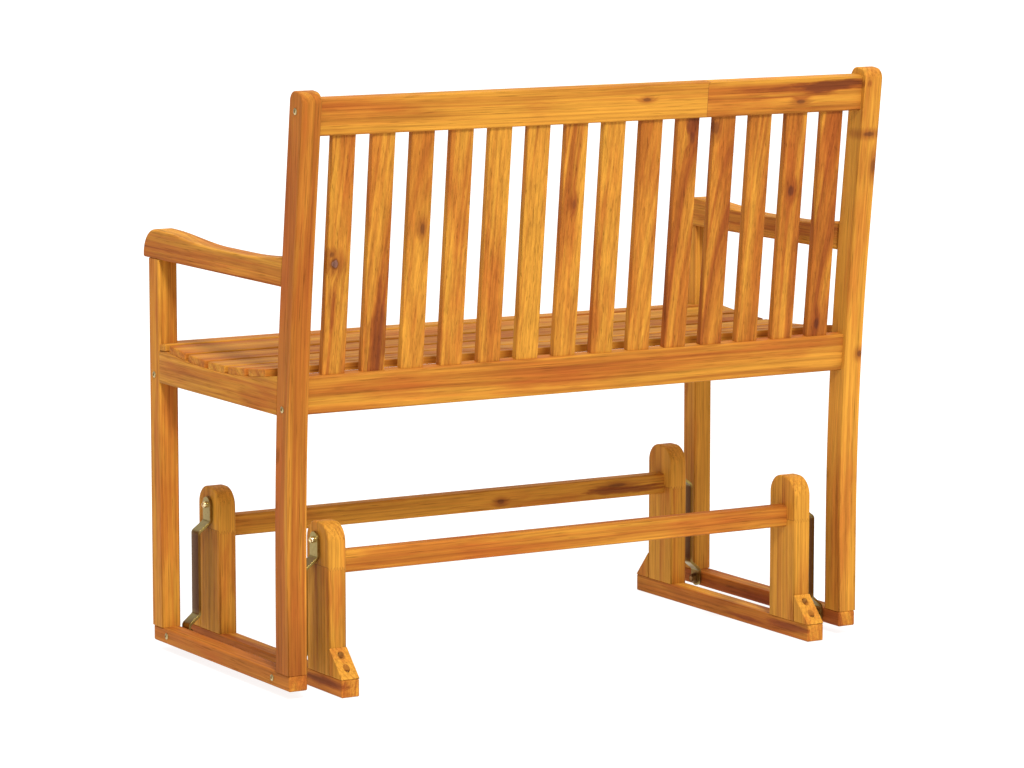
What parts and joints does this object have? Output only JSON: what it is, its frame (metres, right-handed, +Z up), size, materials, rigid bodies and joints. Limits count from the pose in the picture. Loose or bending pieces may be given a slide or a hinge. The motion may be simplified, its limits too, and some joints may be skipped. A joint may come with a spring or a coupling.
{
  "type": "glider bench",
  "caption": "Slatted wooden garden bench with armrests that glides back and forth, hung on steel strap links from a low wooden base.",
  "frame": {"origin": "on the floor under the middle of the bench's overall box, at rest", "axes": "+X to the sitter's left, +Y towards the back of the bench, +Z up; the bench faces -Y"},
  "size_m": [1.029, 0.55, 0.913],
  "materials": {
    "acacia": "oiled, semi-gloss, honey orange with reddish brown grain",
    "dowel_wood": "plain unfinished hardwood",
    "link_steel": "yellow zinc plated strap steel, satin",
    "bolt_steel": "zinc plated, satin",
    "brass": "yellow passivated, polished head"
  },
  "bodies": {
    "base": {"left_foot": "acacia", "right_foot": "acacia", "left_front_upright": "acacia", "left_rear_upright": "acacia", "right_front_upright": "acacia", "right_rear_upright": "acacia", "front_stretcher": "acacia", "rear_stretcher": "acacia", "left_front_gusset": "acacia", "left_rear_gusset": "acacia", "right_front_gusset": "acacia", "right_rear_gusset": "acacia", "base_screws": "bolt_steel", "base_dowels": "dowel_wood", "upper_pivot_bolts": "brass", "upper_pivot_washers": "bolt_steel"},
    "left_rear_link": {"left_rear_link": "link_steel"},
    "bench": {"left_post": "acacia", "right_post": "acacia", "left_front_leg": "acacia", "right_front_leg": "acacia", "left_arm": "acacia", "right_arm": "acacia", "left_bottom_rail": "acacia", "right_bottom_rail": "acacia", "left_seat_rail": "acacia", "right_seat_rail": "acacia", "top_rail": "acacia", "lower_back_rail": "acacia", "front_apron": "acacia", "seat_bearer": "acacia", "back_slat_1": "acacia", "back_slat_2": "acacia", "back_slat_3": "acacia", "back_slat_4": "acacia", "back_slat_5": "acacia", "back_slat_6": "acacia", "back_slat_7": "acacia", "back_slat_8": "acacia", "back_slat_9": "acacia", "back_slat_10": "acacia", "back_slat_11": "acacia", "back_slat_12": "acacia", "back_slat_13": "acacia", "back_slat_14": "acacia", "seat_slat_1": "acacia", "seat_slat_2": "acacia", "seat_slat_3": "acacia", "seat_slat_4": "acacia", "seat_slat_5": "acacia", "seat_slat_6": "acacia", "seat_pegs": "dowel_wood", "frame_bolts": "bolt_steel", "barrel_nuts": "bolt_steel", "frame_dowels": "dowel_wood", "lower_pivot_bolts": "bolt_steel", "lower_pivot_nuts": "bolt_steel"},
    "left_front_link": {"left_front_link": "link_steel"},
    "right_rear_link": {"right_rear_link": "link_steel"},
    "right_front_link": {"right_front_link": "link_steel"}
  },
  "joints": [
    {"name": "glide", "type": "hinge", "parent": "base", "child": "left_rear_link", "pos_m": [0.4586, 0.161, 0.23], "axis": [1, 0, 0], "range_deg": [-18, 18]},
    {"name": "seat_level", "type": "hinge", "parent": "left_rear_link", "child": "bench", "pos_m": [0.4586, 0.161, 0.026], "axis": [1, 0, 0], "range_deg": [-18, 18]},
    {"name": "left_front_swing", "type": "hinge", "parent": "base", "child": "left_front_link", "pos_m": [0.4586, -0.201, 0.23], "axis": [1, 0, 0], "range_deg": [-18, 18]},
    {"name": "right_rear_swing", "type": "hinge", "parent": "base", "child": "right_rear_link", "pos_m": [-0.4586, 0.161, 0.23], "axis": [1, 0, 0], "range_deg": [-18, 18]},
    {"name": "right_front_swing", "type": "hinge", "parent": "base", "child": "right_front_link", "pos_m": [-0.4586, -0.201, 0.23], "axis": [1, 0, 0], "range_deg": [-18, 18]}
  ],
  "couplings": [
    {"joint": "seat_level", "follows": "glide", "ratio": -1},
    {"joint": "left_front_swing", "follows": "glide", "ratio": 1},
    {"joint": "right_rear_swing", "follows": "glide", "ratio": 1},
    {"joint": "right_front_swing", "follows": "glide", "ratio": 1}
  ]
}
